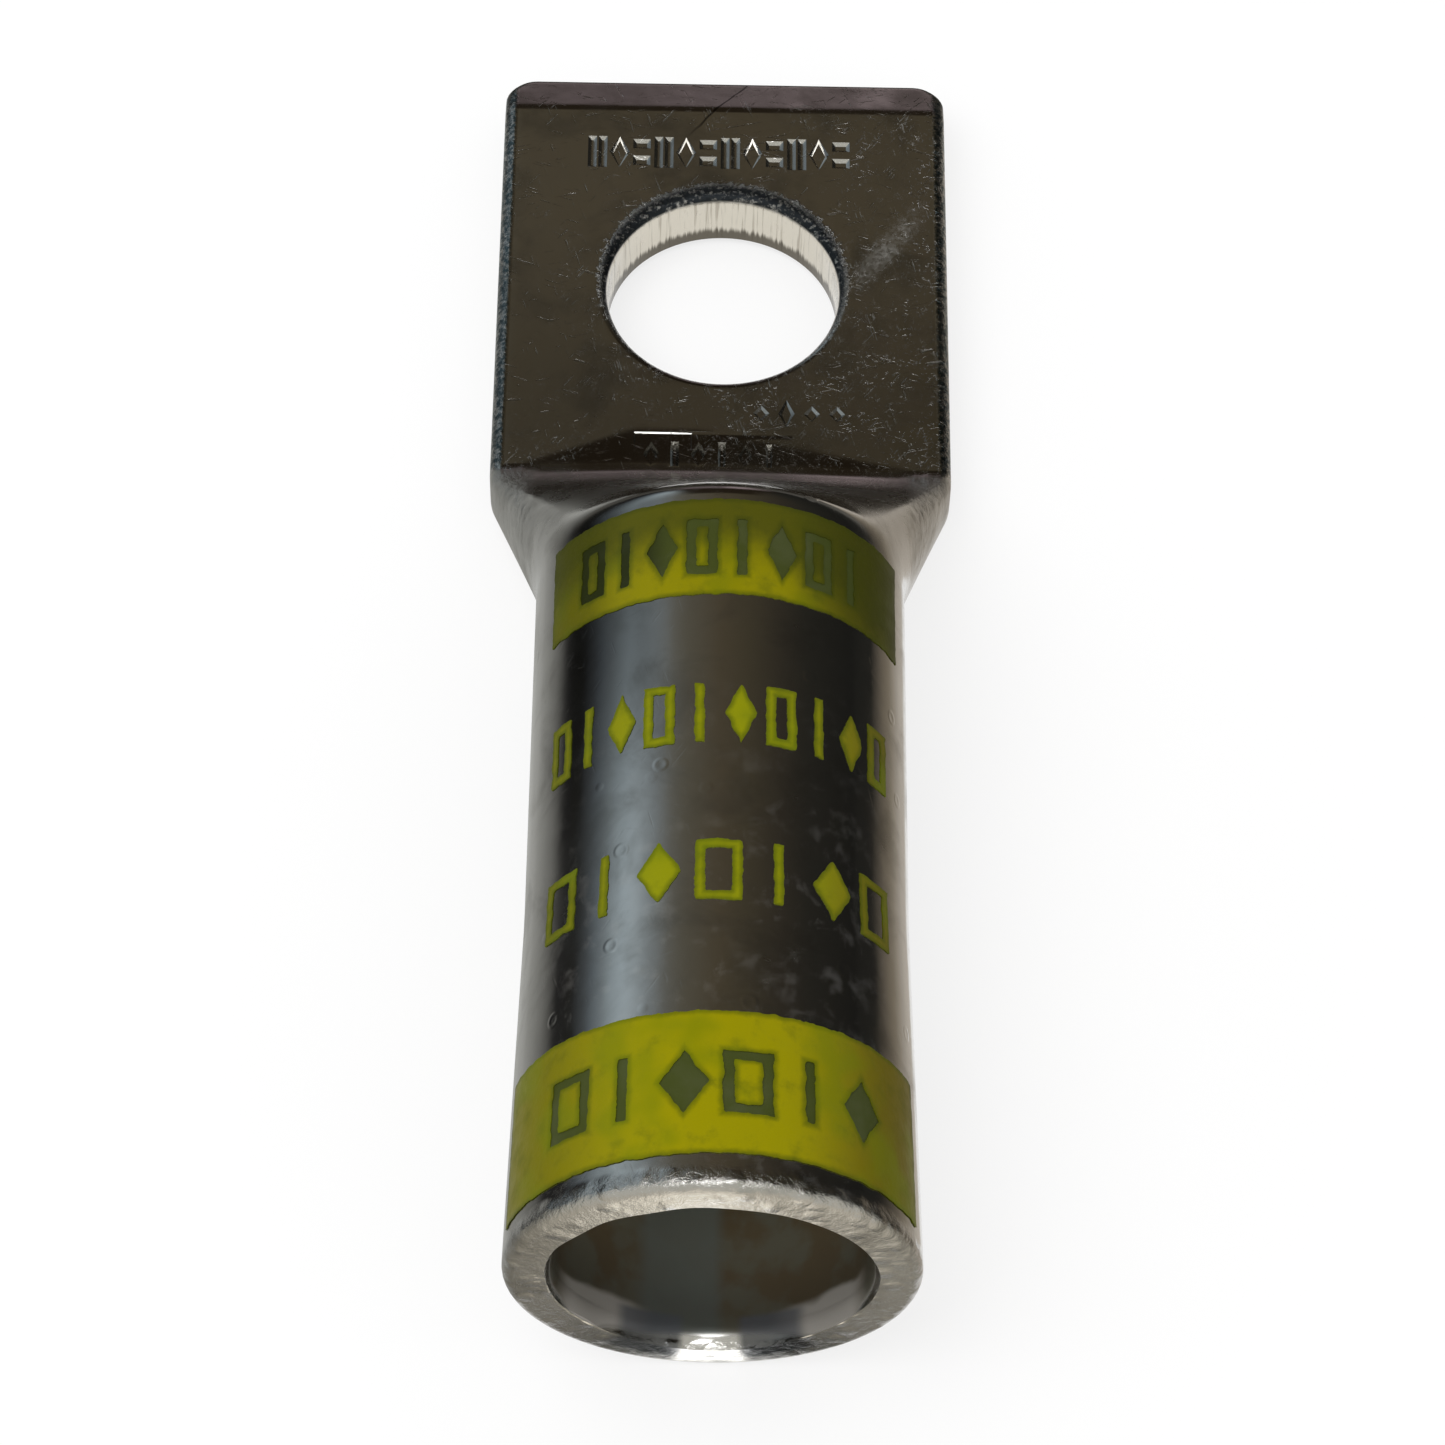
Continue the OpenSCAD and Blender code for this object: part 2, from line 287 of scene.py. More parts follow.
def cut(target, tool):
    """Takes the tool's solid out of the target for good, and deletes the tool."""
    modifier = target.modifiers.new("cut", "BOOLEAN")
    modifier.operation = "DIFFERENCE"
    modifier.solver = "EXACT"
    modifier.object = tool
    depsgraph = bpy.context.evaluated_depsgraph_get()
    mesh = bpy.data.meshes.new_from_object(target.evaluated_get(depsgraph))
    target.modifiers.clear()
    target.data = mesh
    bpy.data.objects.remove(tool)


# The punch comes in from the top: it draws the upper edge down and breaks out square below
punch_roll = 0.6 * mm
roll_steps = 8
profile = [(hole_r, -2 * mm), (hole_r, palm_t - punch_roll)]
for k in range(1, roll_steps + 1):
    t = math.pi / 2 * k / roll_steps
    profile.append((hole_r + punch_roll * (1 - math.cos(t)),
                    palm_t - punch_roll + punch_roll * math.sin(t)))
profile.append((hole_r + punch_roll, palm_t + 2 * mm))
cut(lug, revolve("punch", profile, 160))

# Plain shapes stamped into the palm: a row by the far end, a sunk panel by the base, and a
# few small ones beside it. They have sloped walls and stand for no letter or number.
stamp_slope = 0.2 * mm


def stamp(outline, floor, tilt=0.0, level_y=0.0, slope=stamp_slope):
    """Die with sloped walls, whose foot has this outline and stands at the floor's height. Before
    level_y the foot rises by the tilt."""
    middle = Vector((sum(x for x, _ in outline), sum(y for _, y in outline))) / len(outline)
    rings = []
    for out, z in ((0.0, floor), (slope, palm_t), (slope * 1.2, palm_t + 1.2 * mm)):
        ring = []
        for x, y in outline:
            away = Vector((x, y)) - middle
            ring.append(Vector((x + math.copysign(out, away.x) * (abs(away.x) > 1e-6),
                                y + math.copysign(out, away.y) * (abs(away.y) > 1e-6),
                                z + tilt * max(0.0, level_y - y))))
        rings.append(ring)
    return rings


def oblong(x, y, w, h):
    return [(x - w / 2, y + h / 2), (x + w / 2, y + h / 2), (x + w / 2, y - h / 2),
            (x - w / 2, y - h / 2)]


def lozenge(x, y, w, h):
    return [(x, y + h / 2), (x + w / 2, y), (x, y - h / 2), (x - w / 2, y)]


def stamp_all(target, dies):
    """Presses dies that don't overlap into the target in one go."""
    tool = None
    for die in dies:
        part = loft("die", die)
        if tool is None:
            tool = part
        else:
            both = [tool, part]
            with bpy.context.temp_override(active_object=tool, object=tool, selected_objects=both,
                                           selected_editable_objects=both):
                bpy.ops.object.join()
    cut(target, tool)


panel_floor, panel_tilt, panel_top = palm_t - 0.1 * mm, 0.2, -10.3 * mm
for x, w, h, lift, slope in ((-3.2, 3.1, 2.8, 0.065, 0.07), (1.1, 5.6, 2.7, 0.07, 0.2)):
    stamp_all(lug, [stamp(oblong(x * mm, -11.7 * mm, w * mm, h * mm), panel_floor + lift * mm,
                          panel_tilt, panel_top, slope * mm)])
dies = []
row_y, row_h = 9.9 * mm, 1.9 * mm
for i in range(12):
    x = (i - 5.5) * 1.27 * mm - 0.3 * mm
    if i % 3 == 1:
        dies.append(stamp(lozenge(x, row_y, 0.75 * mm, row_h), palm_t - 0.15 * mm))
    elif i % 3 == 0:
        dies += [stamp(oblong(x + side * 0.3 * mm, row_y, 0.1 * mm, row_h), palm_t - 0.15 * mm)
                 for side in (-1, 1)]
    else:
        dies += [stamp(oblong(x, row_y + side * 0.62 * mm, 0.6 * mm, 0.3 * mm), palm_t - 0.15 * mm)
                 for side in (-1, 1)]
for i in range(6):
    x = (i - 2.5) * 1.3 * mm - 0.6 * mm
    dies.append(stamp(oblong(x, -11.9 * mm, 0.12 * mm, 1.6 * mm) if i % 2 else
                      lozenge(x, -11.9 * mm, 0.5 * mm, 1.6 * mm),
                      panel_floor - 0.22 * mm, panel_tilt, panel_top))
for i in range(4):
    dies.append(stamp(lozenge((2.2 + 1.4 * i) * mm, -8.8 * mm, 0.5 * mm,
                              (1.5 if i == 1 else 0.7) * mm), palm_t - 0.1 * mm))
stamp_all(lug, dies)

for polygon in lug.data.polygons:
    polygon.use_smooth = True
lug.data.set_sharp_from_angle(angle=math.radians(28))
weighted = lug.modifiers.new("weighted_normals", "WEIGHTED_NORMAL")
weighted.keep_sharp = True
weighted.weight = 100


def add_node(tree, kind, settings=(), **values):
    """New shader node, with its settings and the values of its sockets, by name or by place."""
    node = tree.nodes.new(kind)
    for name, value in dict(settings).items():
        setattr(node, name, value)
    for name, value in values.items():
        socket = node.inputs[int(name[1:])] if name[0] == "_" and name[1:].isdigit() \
            else node.inputs[name.replace("_", " ")]
        if isinstance(value, bpy.types.NodeSocket):
            tree.links.new(value, socket)
        else:
            socket.default_value = value
    return node


def calculate(tree, operation, a, b=0.0, clamp=False):
    """Result of a maths node. With clamp, it is kept from 0 to 1."""
    node = add_node(tree, "ShaderNodeMath", {"operation": operation, "use_clamp": clamp},
                    _0=a, _1=b)
    return node.outputs[0]


def times(tree, first, *others):
    """Product of all the values."""
    for other in others:
        first = calculate(tree, "MULTIPLY", first, other)
    return first


def plus(tree, first, *others, clamp=False):
    """Sum of all the values. With clamp, each step is kept from 0 to 1."""
    for other in others:
        first = calculate(tree, "ADD", first, other, clamp)
    return first


def minus(tree, a, b, clamp=False):
    return calculate(tree, "SUBTRACT", a, b, clamp)


def size_of(tree, value):
    return calculate(tree, "ABSOLUTE", value)


def distance(tree, a, b):
    """Length of the flat vector (a, b)."""
    squares = plus(tree, calculate(tree, "POWER", a, 2.0), calculate(tree, "POWER", b, 2.0))
    return calculate(tree, "SQRT", squares)


def spread(tree, value, low, high, out_low=0.0, out_high=1.0):
    """Value's range from low to high, sent smoothly to the range from out_low to out_high."""
    node = add_node(tree, "ShaderNodeMapRange", {"interpolation_type": "SMOOTHSTEP"},
                    Value=value, From_Min=low, From_Max=high, To_Min=out_low, To_Max=out_high)
    return node.outputs["Result"]


def blend_colors(tree, share, a, b):
    node = add_node(tree, "ShaderNodeMix", {"data_type": "RGBA"}, _0=share, _6=a, _7=b)
    return node.outputs[2]


def new_group(name, inputs, outputs):
    """Empty shader group with float or vector inputs, given as (name, kind, value)."""
    tree = bpy.data.node_groups.new(name, "ShaderNodeTree")
    for title, kind, value in inputs:
        socket = tree.interface.new_socket(title, in_out="INPUT", socket_type="NodeSocket" + kind)
        if value is not None:
            socket.default_value = value
    for title, kind in outputs:
        tree.interface.new_socket(title, in_out="OUTPUT", socket_type="NodeSocket" + kind)
    return tree, tree.nodes.new("NodeGroupInput"), tree.nodes.new("NodeGroupOutput")


# Straight hairline scratches in four directions, broken up into short lengths
scratch_group, source, sink = new_group(
    "hairline_scratches",
    [("Vector", "Vector", None), ("Fineness", "Float", 9.0), ("Amount", "Float", 0.5)],
    [("Mask", "Float")])
worst = 0.0
for turn, tilt in ((0.35, 0.0), (1.3, 1.0), (2.2, 0.4), (2.9, 2.0)):
    turned = add_node(scratch_group, "ShaderNodeVectorRotate", {"rotation_type": "EULER_XYZ"},
                      Vector=source.outputs["Vector"], Rotation=(0.0, 0.0, turn))
    stretched = add_node(scratch_group, "ShaderNodeVectorMath", {"operation": "MULTIPLY"},
                         _0=turned.outputs[0], _1=(0.22, 4.0, 0.22))
    lines = add_node(scratch_group, "ShaderNodeTexNoise", Vector=stretched.outputs[0],
                     Scale=source.outputs["Fineness"], Detail=1.0)
    gaps = add_node(scratch_group, "ShaderNodeTexNoise", {"noise_dimensions": "4D"},
                    Vector=turned.outputs[0], W=tilt * 7, Scale=1.3, Detail=2.0)
    thin = spread(scratch_group, lines.outputs["Fac"], 0.66, 0.74)
    part = spread(scratch_group, gaps.outputs["Fac"], 0.48, 0.62)
    worst = calculate(scratch_group, "MAXIMUM", times(scratch_group, thin, part), worst)
scratch_group.links.new(times(scratch_group, worst, source.outputs["Amount"]), sink.inputs["Mask"])

tin = bpy.data.materials.new("tin_plate")
tin.use_nodes = True
tree = tin.node_tree
shader = tree.nodes["Principled BSDF"]
place = add_node(tree, "ShaderNodeTexCoord").outputs["Object"]
in_mm = add_node(tree, "ShaderNodeVectorMath", {"operation": "SCALE"}, Vector=place,
                 Scale=1000.0).outputs[0]
parts = add_node(tree, "ShaderNodeSeparateXYZ", Vector=in_mm)
px, py, pz = parts.outputs

# Distance from the barrel's axis and from the stud hole's axis, in millimetres
off_axis_z = minus(tree, pz, barrel_r / mm)
from_axis = distance(tree, px, off_axis_z)
from_hole = distance(tree, px, py)
in_bore = times(tree, spread(tree, from_axis, bore_r / mm + 0.16, bore_r / mm + 0.04),
                spread(tree, py, shoulder_y / mm + 1.5, shoulder_y / mm + 0.5))
hole_wall = spread(tree, from_hole, hole_r / mm + 0.12, hole_r / mm + 0.02)

scratches = add_node(tree, "ShaderNodeGroup", {"node_tree": scratch_group}, Vector=in_mm,
                     Fineness=1.6, Amount=1.0).outputs["Mask"]
smudge = add_node(tree, "ShaderNodeTexNoise", Vector=in_mm, Scale=0.22, Detail=4.0, Roughness=0.6,
                  Distortion=0.4).outputs["Fac"]
grain = add_node(tree, "ShaderNodeTexNoise", Vector=in_mm, Scale=5.0, Detail=3.0).outputs["Fac"]
ripple = add_node(tree, "ShaderNodeTexNoise", Vector=in_mm, Scale=0.35, Detail=2.0).outputs["Fac"]

# Wrinkles where the shoulder's sides were squeezed out
on_shoulder = times(tree, spread(tree, py, shoulder_y / mm + 0.5, shoulder_y / mm + 4.0),
                    spread(tree, py, palm_base / mm + 0.2, palm_base / mm - 0.8))
on_side = spread(tree, size_of(tree, px), 9.6, 11.2)
wrinkled = times(tree, on_shoulder, on_side)
squeezed = add_node(tree, "ShaderNodeVectorMath", {"operation": "MULTIPLY"}, _0=in_mm,
                    _1=(1.5, 0.8, 0.7))
creases = add_node(tree, "ShaderNodeTexVoronoi", {"feature": "DISTANCE_TO_EDGE"},
                   Vector=squeezed.outputs[0], Scale=0.9, Randomness=1.0).outputs["Distance"]
crumple = add_node(tree, "ShaderNodeTexNoise", Vector=squeezed.outputs[0], Scale=1.4, Detail=4.0,
                   Roughness=0.65).outputs["Fac"]

# Upright drag lines that the punch leaves on the hole's wall
turn = calculate(tree, "ARCTAN2", py, px)
wall_lines = add_node(tree, "ShaderNodeCombineXYZ", X=times(tree, turn, 22.0),
                      Y=times(tree, pz, 0.12)).outputs[0]
drag = add_node(tree, "ShaderNodeTexNoise", Vector=wall_lines, Scale=1.0, Detail=3.0,
                Roughness=0.7).outputs["Fac"]

# Fine specks and short scratches over the palm, denser on its right and towards its base
on_palm = spread(tree, py, palm_base / mm - 0.5, palm_base / mm + 0.5)
scratches = times(tree, scratches, plus(tree, times(tree, on_palm, 0.7), 0.3))
speck_noise = add_node(tree, "ShaderNodeTexNoise", Vector=in_mm, Scale=4.2, Detail=3.0,
                       Roughness=0.75).outputs["Fac"]
worn = add_node(tree, "ShaderNodeTexNoise", Vector=in_mm, Scale=0.3, Detail=3.0,
                Roughness=0.7).outputs["Fac"]
worn = plus(tree, worn, times(tree, px, 0.008), times(tree, py, -0.006))
worn = times(tree, spread(tree, worn, 0.42, 0.66), on_palm)
specks = times(tree, spread(tree, speck_noise, 0.58, 0.70), worn)
fine_scratches = add_node(tree, "ShaderNodeGroup", {"node_tree": scratch_group}, Vector=in_mm,
                          Fineness=3.4, Amount=1.0).outputs["Mask"]
fine_scratches = times(tree, fine_scratches, worn)

# One long dark scratch that runs over the end bevel, and a whitish smear right of the hole
wander = times(tree, minus(tree, ripple, 0.5), 1.2)
off_line = plus(tree, wander, minus(tree, times(tree, plus(tree, px, 4.8), 0.823),
                                    times(tree, minus(tree, py, 7.06), 0.568)))
long_scratch = times(tree, spread(tree, size_of(tree, off_line), 0.09, 0.03),
                     spread(tree, py, 10.8, 12.5))
smear_u = plus(tree, times(tree, minus(tree, px, 9.6), 0.12),
               times(tree, minus(tree, py, 3.6), 0.18))
smear_v = minus(tree, times(tree, minus(tree, px, 9.6), 0.84),
                times(tree, minus(tree, py, 3.6), 0.55))
smear = distance(tree, smear_u, smear_v)
smear = times(tree, spread(tree, smear, 1.1, 0.2), on_palm, spread(tree, smudge, 0.35, 0.62))

# Rough long edges of the palm, and a ragged dark ring where the punch drew the hole's edge down
long_edge = times(tree, on_palm, spread(tree, size_of(tree, px), 11.9, 12.15))
long_edge = times(tree, long_edge, spread(tree, pz, palm_t / mm - 1.9, palm_t / mm - 1.1))
edge_noise = add_node(tree, "ShaderNodeTexNoise", Vector=in_mm, Scale=3.2, Detail=4.0,
                      Roughness=0.7).outputs["Fac"]
ragged_rim = plus(tree, from_hole, times(tree, edge_noise, -1.1))
ragged_rim = plus(tree, ragged_rim, times(tree, minus(tree, py, 4.0), -0.085))
hole_rim = times(tree, spread(tree, ragged_rim, hole_r / mm + 0.45, hole_r / mm + 0.0),
                 spread(tree, from_hole, hole_r / mm + 0.02, hole_r / mm + 0.12))

# Stains: thin ink that ran into the openings of the bands, and dirt low on the hole's wall
from_mouth = minus(tree, py, mouth_y / mm)
in_lower_band = times(tree, spread(tree, from_mouth, 1.4, 1.9), spread(tree, from_mouth, 8.2, 7.7),
                      spread(tree, off_axis_z, 3.2, 3.8))
in_upper_band = times(tree, spread(tree, from_mouth, 33.5, 34.0),
                      spread(tree, from_mouth, 38.6, 38.1), spread(tree, off_axis_z, 4.7, 5.2))
in_bands = plus(tree, in_lower_band, in_upper_band)
in_bands = times(tree, in_bands, spread(tree, smudge, 0.35, 0.6, 0.97, 1.0))
scratches = times(tree, scratches, minus(tree, 1.0, in_bands))
low_dirt = times(tree, hole_wall,
                 spread(tree, plus(tree, pz, times(tree, drag, -1.6)), 0.25, -0.25))
dark_drag = times(tree, hole_wall, spread(tree, drag, 0.52, 0.66))

# Small round pits in the plating of the barrel
pit_cells = add_node(tree, "ShaderNodeTexVoronoi", Vector=in_mm, Scale=0.42, Randomness=1.0)
pit_pick = add_node(tree, "ShaderNodeSeparateXYZ", Vector=pit_cells.outputs["Color"]).outputs["X"]
pit = times(tree, spread(tree, pit_cells.outputs["Distance"], 0.21, 0.14),
            spread(tree, py, palm_base / mm - 2, palm_base / mm - 6))
pit = times(tree, pit, spread(tree, pit_pick, 0.5, 0.6), minus(tree, 1.0, in_bore))
pit_heart = spread(tree, pit_cells.outputs["Distance"], 0.14, 0.05)
pit_shape = minus(tree, pit, times(tree, pit_heart, pit))

clean_tin = (0.60, 0.585, 0.55, 1)
dull_tin = (0.42, 0.405, 0.37, 1)
color = blend_colors(tree, spread(tree, smudge, 0.45, 0.75), clean_tin, dull_tin)
color = blend_colors(tree, times(tree, long_edge, spread(tree, edge_noise, 0.62, 0.42)), color,
                     (0.10, 0.14, 0.15, 1))
color = blend_colors(tree, times(tree, hole_rim, spread(tree, edge_noise, 0.72, 0.5)), color,
                     (0.035, 0.04, 0.045, 1))
color = blend_colors(tree, times(tree, long_scratch, 0.8), color, (0.05, 0.045, 0.045, 1))
color = blend_colors(tree, hole_wall, color, (0.66, 0.62, 0.53, 1))
color = blend_colors(tree, times(tree, dark_drag, 0.4), color, (0.14, 0.11, 0.07, 1))
color = blend_colors(tree, times(tree, low_dirt, 0.85), color, (0.05, 0.04, 0.025, 1))
color = blend_colors(tree, in_bands, color, (0.048, 0.060, 0.010, 1))
bore_mottle = add_node(tree, "ShaderNodeTexNoise", Vector=in_mm, Scale=0.5,
                       Detail=3.0).outputs["Fac"]
bore_oxide_and_painted_light = blend_colors(tree, spread(tree, bore_mottle, 0.4, 0.62), (0.075, 0.058, 0.034, 1),
                         (0.085, 0.080, 0.058, 1))
# Painted reflection: a paler grey-teal patch in the middle of the bore stands for a mirrored
# window.
painted_window_reflection = times(tree, spread(tree, px, -4.0, -3.0), spread(tree, px, 0.9, 0.0))
bore_oxide_and_painted_light = blend_colors(tree, times(tree, painted_window_reflection, 0.8), bore_oxide_and_painted_light, (0.088, 0.098, 0.088, 1))
# Painted light: the bore's dull oxide colour is made brighter deeper in.
bore_oxide_and_painted_light = add_node(tree, "ShaderNodeVectorMath", {"operation": "SCALE"}, Vector=bore_oxide_and_painted_light,
                     Scale=spread(tree, from_mouth, 1.0, 8.0, 0.85, 3.4)).outputs[0]
color = blend_colors(tree, in_bore, color, bore_oxide_and_painted_light)

# Painted light in pale grey zones low on both sides, just inside the mouth, and painted shade in
# dark zones next to them
low_turn = calculate(tree, "ARCTAN2", size_of(tree, px), times(tree, off_axis_z, -1.0))
painted_light_low_sides = spread(tree, size_of(tree, minus(tree, low_turn, 0.85)), 0.5, 0.2)
painted_light_low_sides = times(tree, painted_light_low_sides, in_bore,
                  spread(tree, plus(tree, from_mouth, times(tree, ripple, 1.2)), 2.35, 1.9))
color = blend_colors(tree, painted_light_low_sides, color, (0.27, 0.255, 0.23, 1))
painted_shade_low_sides = times(tree, spread(tree, low_turn, 0.15, 0.22), spread(tree, low_turn, 0.68, 0.55))
painted_shade_low_sides = times(tree, painted_shade_low_sides, spread(tree, from_mouth, 1.7, 1.3),
                spread(tree, from_axis, 9.3, 8.8))
color = blend_colors(tree, times(tree, painted_shade_low_sides, 0.8), color, (0.07, 0.075, 0.085, 1))

# Painted shade: the colour is scaled darker towards the palm's base and on a band of the barrel's
# far left. As a painted reflection, the wall of the stud hole is nearly black where the shoulder
# mirrors it.
shade = times(tree, on_palm, spread(tree, py, -12.5, 8.0, 0.32, 0.0))
far_left = times(tree, spread(tree, px, -2.2, -4.2), spread(tree, px, -8.4, -7.2))
far_left = times(tree, far_left, spread(tree, from_mouth, 15, 32), spread(tree, from_mouth, 41, 39))
shade = plus(tree, shade, times(tree, far_left, 0.62))
color = add_node(tree, "ShaderNodeVectorMath", {"operation": "SCALE"}, Vector=color,
                 Scale=minus(tree, 1.0, shade)).outputs[0]
# Painted reflection: reflected rays see the hole's wall nearly black.
hole_wall_painted_reflection = times(tree, hole_wall,
                      add_node(tree, "ShaderNodeLightPath").outputs["Is Glossy Ray"])
color = blend_colors(tree, times(tree, hole_wall_painted_reflection, 0.93), color, (0.02, 0.018, 0.015, 1))
tree.links.new(color, shader.inputs["Base Color"])
whitish = plus(tree, times(tree, specks, 0.14), times(tree, fine_scratches, 0.16))
whitish = plus(tree, whitish, times(tree, smear, spread(tree, speck_noise, 0.35, 0.6), 0.14))
haze_noise = add_node(tree, "ShaderNodeTexNoise", Vector=in_mm, Scale=0.7, Detail=4.0,
                      Roughness=0.65, Distortion=0.3).outputs["Fac"]
on_top = times(tree, spread(tree, off_axis_z, 3.0, 7.0), spread(tree, from_mouth, 32, 14))
whitish = plus(tree, whitish, times(tree, on_top, spread(tree, haze_noise, 0.52, 0.72), 0.05))
bare = minus(tree, 1.0, whitish)
bare = minus(tree, bare, times(tree, in_bands, 0.92))
bare = minus(tree, bare, times(tree, painted_light_low_sides, 0.15))
bare = minus(tree, bare, times(tree, in_bore, 0.8), clamp=True)
tree.links.new(bare, shader.inputs["Metallic"])

rough = spread(tree, smudge, 0.35, 0.75, 0.11, 0.24)
rough = plus(tree, rough, times(tree, scratches, 0.2))
rough = plus(tree, rough, times(tree, wrinkled, 0.18))
rough = plus(tree, rough, times(tree, on_shoulder, 0.12))
rough = plus(tree, rough, times(tree, in_bore, 0.25))
rough = plus(tree, rough, times(tree, in_bands, 0.2))
rough = plus(tree, rough, times(tree, smear, 0.15))
rough = plus(tree, rough, times(tree, hole_rim, 0.3), clamp=True)
tree.links.new(rough, shader.inputs["Roughness"])
tree.links.new(spread(tree, in_bands, 0.0, 1.0, 0.5, 0.12), shader.inputs["Specular IOR Level"])


def add_bump(tree, height, depth, normal=None):
    """Bump node that raises the surface by depth, in metres, where height is 1."""
    node = add_node(tree, "ShaderNodeBump", Strength=1.0, Distance=depth, Height=height)
    if normal:
        tree.links.new(normal, node.inputs["Normal"])
    return node.outputs[0]


bumps = add_bump(tree, ripple, 0.020 * mm)
bumps = add_bump(tree, grain, 0.0006 * mm, bumps)
bumps = add_bump(tree, times(tree, scratches, -1.0), 0.006 * mm, bumps)
bumps = add_bump(tree, times(tree, wrinkled, plus(tree, crumple, times(tree, creases, 0.8))),
                 0.22 * mm, bumps)
bumps = add_bump(tree, times(tree, hole_wall, drag), 0.03 * mm, bumps)
bumps = add_bump(tree, times(tree, plus(tree, long_edge, hole_rim, clamp=True), edge_noise),
                 0.08 * mm, bumps)
bumps = add_bump(tree, plus(tree, specks, fine_scratches), -0.008 * mm, bumps)
bumps = add_bump(tree, pit_shape, 0.010 * mm, bumps)
on_lip = times(tree, spread(tree, from_mouth, 0.5, -0.2),
               spread(tree, from_axis, bore_r / mm + 0.1, bore_r / mm + 0.3))
beads = add_node(tree, "ShaderNodeTexVoronoi", Vector=in_mm, Scale=0.85,
                 Randomness=1.0).outputs["Distance"]
bumps = add_bump(tree, times(tree, on_lip, plus(tree, edge_noise, spread(tree, beads, 0.55, 0.1))),
                 0.07 * mm, bumps)
tree.links.new(bumps, shader.inputs["Normal"])

lug.data.materials.clear()
lug.data.materials.append(tin)
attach(lug, "root")
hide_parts("lug_body")

# ---- Ink bands ------------------------------------------------------------------------
# Two bands of yellow ink, pad printed round the barrel's upper side: one by the shoulder
# and one by the mouth. Marks are left open in them, so that the tin shows through.
ink_out = 0.04 * mm


def frame_mark(x, y, w, h, stroke):
    """Signed distance, in millimetres and above zero inside, to a hollow upright rectangle."""
    outer = min(w / 2 - abs(x), h / 2 - abs(y))
    return min(outer, stroke - outer)


def bar_mark(x, y, w, h, stroke):
    return min(stroke / 2 - abs(x), h / 2 - abs(y))


def diamond_mark(x, y, w, h, stroke):
    return (1 - abs(x) * 2 / w - abs(y) * 2 / h) * w * h / 2 / math.hypot(w, h)


def marks_at(arc, along, count, pitch, w, h, middle, stroke=0.5):
    """Distance into the nearest mark of a row that is spread evenly about the barrel's top."""
    i = min(max(round(arc / pitch + (count - 1) / 2), 0), count - 1)
    kind = (frame_mark, bar_mark, diamond_mark)[i % 3]
    return kind(arc - (i - (count - 1) / 2) * pitch, along - middle, w, h, stroke)


def ink_film(name, inside, near, far, ends, cell=0.1):
    """Film of ink on the barrel where inside(arc, along), in millimetres, is above zero. Along is
    measured from the mouth, and the film's border is traced through a square grid of cells."""
    radius = barrel_r / mm
    left, right_end = (math.radians(a) * radius for a in ends)
    margin = 0.4
    columns = int((right_end - left + 2 * margin) / cell) + 1
    lines = int((far - near + 2 * margin) / cell) + 1
    spots = [[(left - margin + i * cell, near - margin + j * cell) for j in range(lines + 1)]
             for i in range(columns + 1)]
    values = [[inside(*spots[i][j]) for j in range(lines + 1)] for i in range(columns + 1)]
    found, points, faces = {}, [], []

    def point(key, spot):
        if key not in found:
            found[key] = len(points)
            points.append(spot)
        return found[key]

    for i in range(columns):
        for j in range(lines):
            corners = [(i, j), (i + 1, j), (i + 1, j + 1), (i, j + 1)]
            face = []
            for a, b in zip(corners, corners[1:] + corners[:1]):
                va, vb = values[a[0]][a[1]], values[b[0]][b[1]]
                sa, sb = spots[a[0]][a[1]], spots[b[0]][b[1]]
                if va > 0:
                    face.append(point(a, sa))
                if (va > 0) != (vb > 0):
                    t = va / (va - vb)
                    face.append(point(tuple(sorted((a, b))),
                                      (sa[0] + (sb[0] - sa[0]) * t, sa[1] + (sb[1] - sa[1]) * t)))
            if len(face) > 2:
                faces.append(face)

    def on_barrel(spot, out):
        angle, y = spot[0] / radius, mouth_y + spot[1] * mm
        r = outside_r(y) + out
        return (r * math.sin(angle), y, barrel_r + r * math.cos(angle))

    count = len(points)
    sides = {}
    for face in faces:
        for a, b in zip(face, face[1:] + face[:1]):
            if (b, a) in sides:
                del sides[(b, a)]
            else:
                sides[(a, b)] = True
    solid = [tuple(reversed(face)) for face in faces]
    solid += [tuple(p + count for p in face) for face in faces]
    solid += [(a, b, b + count, a + count) for a, b in sides]
    mesh = bpy.data.meshes.new(name)
    mesh.from_pydata([on_barrel(p, 0) for p in points] + [on_barrel(p, ink_out) for p in points],
                     [], solid)
    for polygon in mesh.polygons:
        polygon.use_smooth = True
    mesh.set_sharp_from_angle(angle=math.radians(40))
    edge = mesh.attributes.new("edge", "FLOAT", "POINT")
    for k, p in enumerate(points + points):
        edge.data[k].value = max(0.0, min(1.0, inside(*p) / 0.35))
    obj = bpy.data.objects.new(name, mesh)
    bpy.context.scene.collection.objects.link(obj)
    return obj


def ragged(arc, along, seed, size=0.09):
    """Small wander of a printed border, in millimetres."""
    spot = Vector((arc * 1.7, along * 1.7, seed))
    fine = Vector((arc * 6, along * 6, seed + 9))
    return size * (noise.noise(spot) + 0.5 * noise.noise(fine))


def band_field(near, far, sides, count, pitch, mark_w, seed):
    """Band from near to far, with ragged ends and its row of marks left open."""
    ends = [math.radians(a) * barrel_r / mm for a in sides]

    def inside(arc, along):
        wander = ragged(arc, along, seed)
        border = min(along - near, far - along, arc - ends[0], ends[1] - arc) + wander
        marks = marks_at(arc, along, count, pitch, mark_w, 3.4, (near + far) / 2) + wander
        return min(border, -marks)
    return inside


